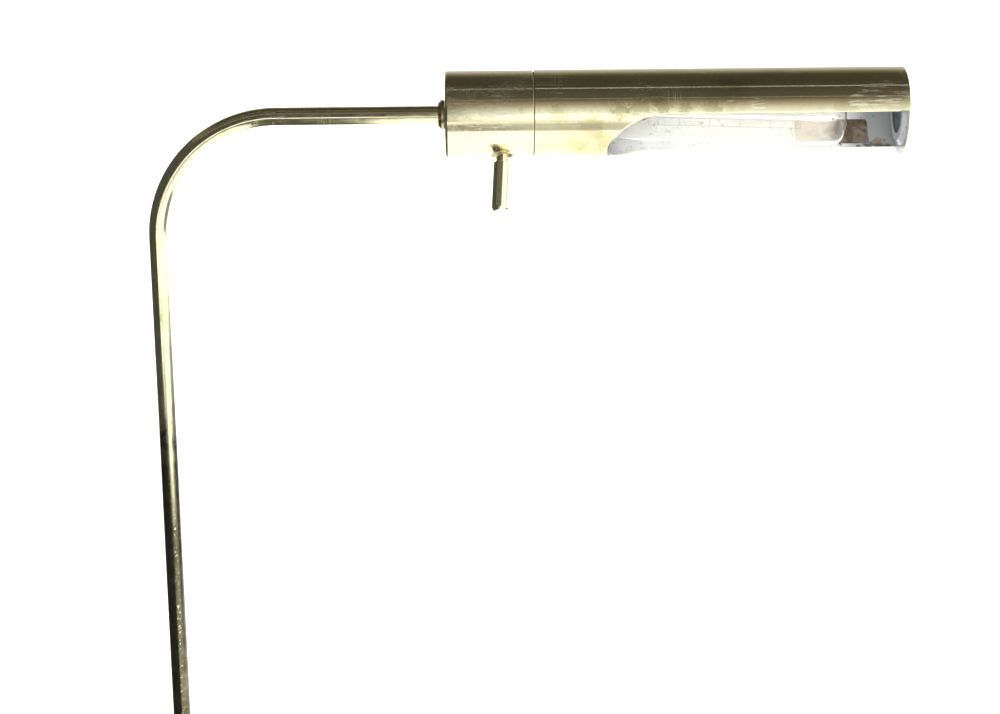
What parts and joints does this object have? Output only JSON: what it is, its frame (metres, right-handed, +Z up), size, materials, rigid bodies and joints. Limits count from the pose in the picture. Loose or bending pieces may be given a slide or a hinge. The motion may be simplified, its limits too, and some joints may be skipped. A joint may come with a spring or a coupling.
{
  "type": "adjustable brass reading lamp",
  "caption": "Brass reading lamp: weighted round base, telescoping post, bent arm and a turning cylinder shade cut open along one side, with a long pin-shaped switch knob.",
  "frame": {"origin": "centre of the base's underside", "axes": "+Z up the post, +X along the arm towards the shade, -Y towards the viewer of the shade's opening"},
  "size_m": [0.5264, 0.19, 0.625],
  "materials": {
    "polished_brass": "polished, tarnished and scratched",
    "shade_brass": "polished and worn outside, white enamel inside",
    "dull_brass": "turned, unpolished",
    "zinc_steel": "zinc plated",
    "spring_steel": "spring temper",
    "iron": "rough cast",
    "felt": "pressed felt",
    "black_rubber": "moulded",
    "nylon": "moulded",
    "fibre": "vulcanised fibre",
    "dark_plug": "dark blue-grey paint",
    "paper_label": "browned by heat, blank",
    "phenolic": "moulded phenolic",
    "porcelain": "glazed",
    "lamp_cap_metal": "rolled thread",
    "solder": "soldered",
    "black_glass": "opaque black glass",
    "clear_glass": "clear",
    "filament_wire": "tungsten"
  },
  "bodies": {
    "base": {"felt_pad": "felt", "base_weight": "iron", "base_cover": "polished_brass", "cord_bushing": "black_rubber", "base_washer": "zinc_steel", "base_nut": "zinc_steel", "post_nipple": "zinc_steel", "post_foot": "polished_brass", "post_tube": "polished_brass", "post_collar": "polished_brass"},
    "thumb_screw": {"clamp_pad": "dull_brass", "thumb_screw": "polished_brass"},
    "guide_bush": {"guide_bush": "nylon"},
    "arm": {"stem_arm": "polished_brass", "bush_clips": "zinc_steel", "swivel_collar": "polished_brass", "swivel_washer": "fibre", "arm_nipple": "dull_brass", "inner_washer": "zinc_steel", "spring_washer": "spring_steel", "stop_washer": "zinc_steel", "lock_nut": "zinc_steel"},
    "head": {"rear_housing": "polished_brass", "stop_pin": "dull_brass", "joining_sleeve": "dull_brass", "shade_tube": "shade_brass", "end_disc": "polished_brass", "vent_plug": "dark_plug", "heat_label": "paper_label", "switch_ferrule": "polished_brass", "switch_case": "phenolic", "switch_bushing": "dull_brass", "socket_bracket": "zinc_steel", "socket_body": "porcelain", "socket_screws": "zinc_steel", "socket_shell": "dull_brass", "centre_contact": "spring_steel", "lamp_cap": "lamp_cap_metal", "lamp_eyelet": "solder", "lamp_insulator": "black_glass", "lamp_glass": "clear_glass", "lamp_mount": "clear_glass", "lamp_filament": "filament_wire"},
    "switch_knob": {"switch_spindle": "dull_brass", "switch_knob": "polished_brass"}
  },
  "joints": [
    {"name": "height_slide", "type": "slide", "parent": "base", "child": "guide_bush", "axis": [0, 0, 1], "range_m": [-0.11, 0.025]},
    {"name": "stem_turn", "type": "hinge", "parent": "guide_bush", "child": "arm", "pos_m": [0, 0, 0.155], "axis": [0, 0, 1], "range_deg": [-175, 175]},
    {"name": "head_roll", "type": "hinge", "parent": "arm", "child": "head", "pos_m": [0.167, 0, 0.6], "axis": [1, 0, 0], "range_deg": [-160, 160]},
    {"name": "knob_turn", "type": "hinge", "parent": "head", "child": "switch_knob", "pos_m": [0.1995, -0.01052, 0.57843], "axis": [-0.061, -0.4376, -0.8971], "continuous": true},
    {"name": "thumb_turn", "type": "hinge", "parent": "base", "child": "thumb_screw", "pos_m": [-0.0075, 0, 0.197], "axis": [-1, 0, 0], "range_deg": [-90, 360]}
  ]
}
